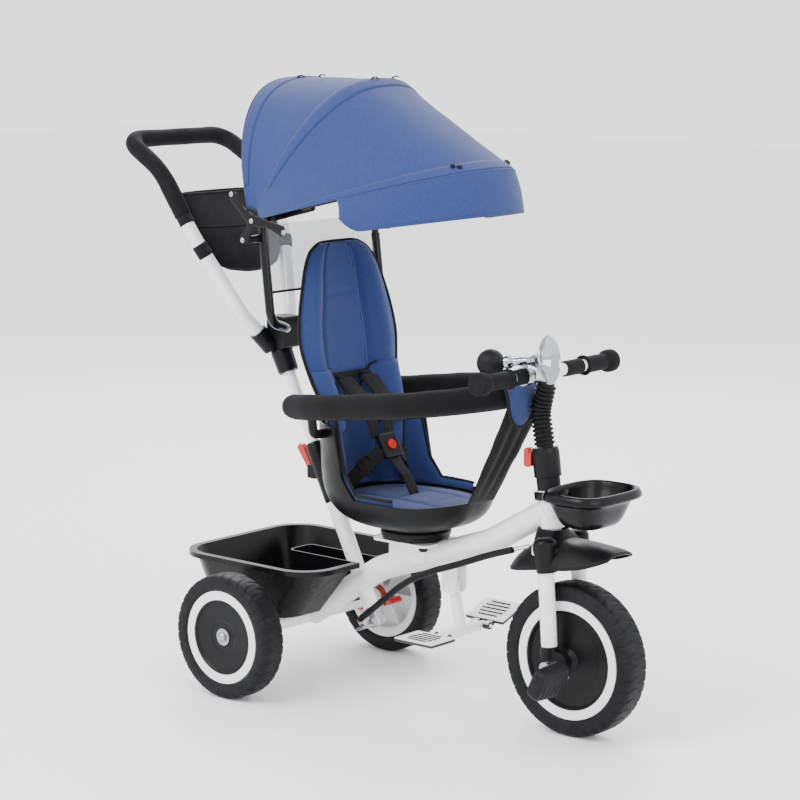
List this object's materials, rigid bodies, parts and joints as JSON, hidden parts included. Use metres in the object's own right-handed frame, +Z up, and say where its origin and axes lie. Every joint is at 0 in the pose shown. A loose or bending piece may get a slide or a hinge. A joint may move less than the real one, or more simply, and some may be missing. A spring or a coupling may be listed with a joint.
{
  "type": "children's push tricycle",
  "caption": "Three-wheeled child's push tricycle with swivel bucket seat, guard ring, folding canopy, steering push handle, two baskets, horn and folding footrest.",
  "frame": {"origin": "middle of the footprint box, on the ground", "axes": "+X forward, +Y to the rider's left, +Z up"},
  "size_m": [1.0765, 0.481, 1.0788],
  "materials": {
    "white_steel": "gloss",
    "black_plastic": "satin",
    "gloss_black": "gloss",
    "white_plastic": "satin",
    "eva_tyre": "matte",
    "black_rubber": "matte",
    "zinc_steel": "satin",
    "black_steel": "satin",
    "chrome": "polished",
    "red_plastic": "gloss",
    "red_steel": "gloss",
    "blue_fabric": "woven melange",
    "black_fabric": "woven",
    "white_mesh": "net"
  },
  "bodies": {
    "frame": {"main_frame": "white_steel", "swivel_base": "black_plastic", "rear_axle": "zinc_steel", "rear_basket": "gloss_black", "front_basket": "gloss_black", "steering_sleeve": "black_rubber"},
    "rear_wheel_left": {"rear_tyre_left": "eva_tyre", "rear_rim_left": "white_plastic", "rear_disc_left": "black_plastic"},
    "rear_wheel_right": {"rear_tyre_right": "eva_tyre", "rear_rim_right": "white_plastic", "rear_disc_right": "black_plastic"},
    "steering": {"fork": "white_steel", "fork_ends": "black_plastic", "fender": "black_plastic", "steering_collar": "black_plastic", "handlebar": "white_steel", "bellows": "black_rubber", "hand_grips": "black_rubber", "bar_foam": "black_rubber", "horn_bell": "chrome", "horn_neck": "chrome", "horn_bulb": "black_rubber", "steering_wires": "zinc_steel"},
    "release_lever": {"release_lever": "red_plastic"},
    "front_wheel": {"front_tyre": "eva_tyre", "front_rim": "white_plastic", "front_disc": "black_plastic", "crank": "zinc_steel"},
    "pedal_left": {"pedal_left": "black_plastic"},
    "pedal_right": {"pedal_right": "black_plastic"},
    "push_column": {"column_tube": "zinc_steel", "column_collar": "black_plastic"},
    "clamp_lever": {"clamp_lever": "red_plastic"},
    "push_handle": {"handle_tubes": "white_steel", "handle_foam": "black_rubber", "handle_yoke": "black_plastic", "rear_bag": "black_fabric", "canopy_support": "black_steel"},
    "canopy_rear": {"canopy_bracket": "black_plastic", "canopy_rear_hoop": "black_steel", "canopy_rear_fabric": "blue_fabric", "mesh_window": "white_mesh"},
    "canopy_mid": {"canopy_mid_hoop": "black_steel", "canopy_front_fabric": "blue_fabric"},
    "canopy_front": {"canopy_front_hoop": "black_steel", "canopy_brim": "blue_fabric"},
    "seat": {"swivel_disc": "black_plastic", "seat_pan": "black_plastic", "seat_back": "blue_fabric", "seat_cushion": "blue_fabric", "guard_ring": "black_fabric", "crotch_panel": "black_fabric", "harness": "black_fabric", "buckle": "black_plastic"},
    "buckle_button": {"buckle_button": "red_plastic"},
    "footrest": {"footrest": "white_steel"},
    "foot_plate_left": {"foot_plate_left": "white_plastic"},
    "foot_plate_right": {"foot_plate_right": "white_plastic"},
    "brake_pedal": {"brake_pedal": "red_steel"}
  },
  "joints": [
    {"name": "rear_wheel_left_spin", "type": "hinge", "parent": "frame", "child": "rear_wheel_left", "pos_m": [-0.18275, 0.215, 0.11], "axis": [0, 1, 0], "continuous": true},
    {"name": "rear_wheel_right_spin", "type": "hinge", "parent": "frame", "child": "rear_wheel_right", "pos_m": [-0.18275, -0.215, 0.11], "axis": [0, 1, 0], "continuous": true},
    {"name": "steering_turn", "type": "hinge", "parent": "frame", "child": "steering", "pos_m": [0.36423, 0, 0.3], "axis": [-0.1322, 0, 0.9912], "range_deg": [-30, 30]},
    {"name": "release_lever_pivot", "type": "hinge", "parent": "steering", "child": "release_lever", "pos_m": [0.31475, 0, 0.471], "axis": [0, 1, 0], "range_deg": [0, 18]},
    {"name": "front_wheel_spin", "type": "hinge", "parent": "steering", "child": "front_wheel", "pos_m": [0.40825, 0, 0.13], "axis": [0, 1, 0], "continuous": true},
    {"name": "pedal_left_spin", "type": "hinge", "parent": "front_wheel", "child": "pedal_left", "pos_m": [0.37108, 0.12, 0.1379], "axis": [0, 1, 0], "continuous": true},
    {"name": "pedal_right_spin", "type": "hinge", "parent": "front_wheel", "child": "pedal_right", "pos_m": [0.44542, -0.12, 0.1221], "axis": [0, 1, 0], "continuous": true},
    {"name": "push_column_twist", "type": "hinge", "parent": "frame", "child": "push_column", "pos_m": [-0.06975, 0, 0.2], "axis": [-0.44, 0, 0.898], "range_deg": [-10, 10]},
    {"name": "clamp_lever_pivot", "type": "hinge", "parent": "push_column", "child": "clamp_lever", "pos_m": [-0.18003, 0, 0.372], "axis": [0, 1, 0], "range_deg": [-70, 0]},
    {"name": "push_handle_height", "type": "slide", "parent": "push_column", "child": "push_handle", "axis": [-0.44, 0, 0.898], "range_m": [-0.06, 0.03]},
    {"name": "canopy_height", "type": "slide", "parent": "push_handle", "child": "canopy_rear", "axis": [-0.1186, 0, 0.9929], "range_m": [0, 0.04]},
    {"name": "canopy_mid_fold", "type": "hinge", "parent": "canopy_rear", "child": "canopy_mid", "pos_m": [-0.14575, 0, 0.837], "axis": [0, 1, 0], "range_deg": [-31, 0], "deforming": ["canopy_rear_fabric"]},
    {"name": "canopy_front_fold", "type": "hinge", "parent": "canopy_rear", "child": "canopy_front", "pos_m": [-0.14575, 0, 0.837], "axis": [0, 1, 0], "range_deg": [-68, 0], "deforming": ["canopy_front_fabric"]},
    {"name": "seat_swivel", "type": "hinge", "parent": "frame", "child": "seat", "pos_m": [0.06125, 0, 0.292], "axis": [0, 0, 1], "continuous": true},
    {"name": "buckle_button_press", "type": "slide", "parent": "seat", "child": "buckle_button", "axis": [-0.8763, 0, -0.4818], "range_m": [0, 0.0025], "stiffness_N_per_m": 400},
    {"name": "footrest_fold", "type": "hinge", "parent": "frame", "child": "footrest", "pos_m": [0.14725, 0, 0.216], "axis": [0, 1, 0], "range_deg": [0, 60]},
    {"name": "foot_plate_left_fold", "type": "hinge", "parent": "footrest", "child": "foot_plate_left", "pos_m": [0.16325, 0.056, 0.136], "axis": [1, 0, 0], "range_deg": [-20, 65]},
    {"name": "foot_plate_right_fold", "type": "hinge", "parent": "footrest", "child": "foot_plate_right", "pos_m": [0.16325, -0.056, 0.136], "axis": [1, 0, 0], "range_deg": [-85, 0]},
    {"name": "brake_pedal_press", "type": "hinge", "parent": "frame", "child": "brake_pedal", "pos_m": [-0.18275, 0.155, 0.11], "axis": [0, 1, 0], "range_deg": [0, 20]}
  ],
  "couplings": [
    {"joint": "push_column_twist", "follows": "steering_turn", "ratio": 0.33},
    {"joint": "canopy_mid_fold", "follows": "canopy_front_fold", "ratio": 0.45}
  ]
}
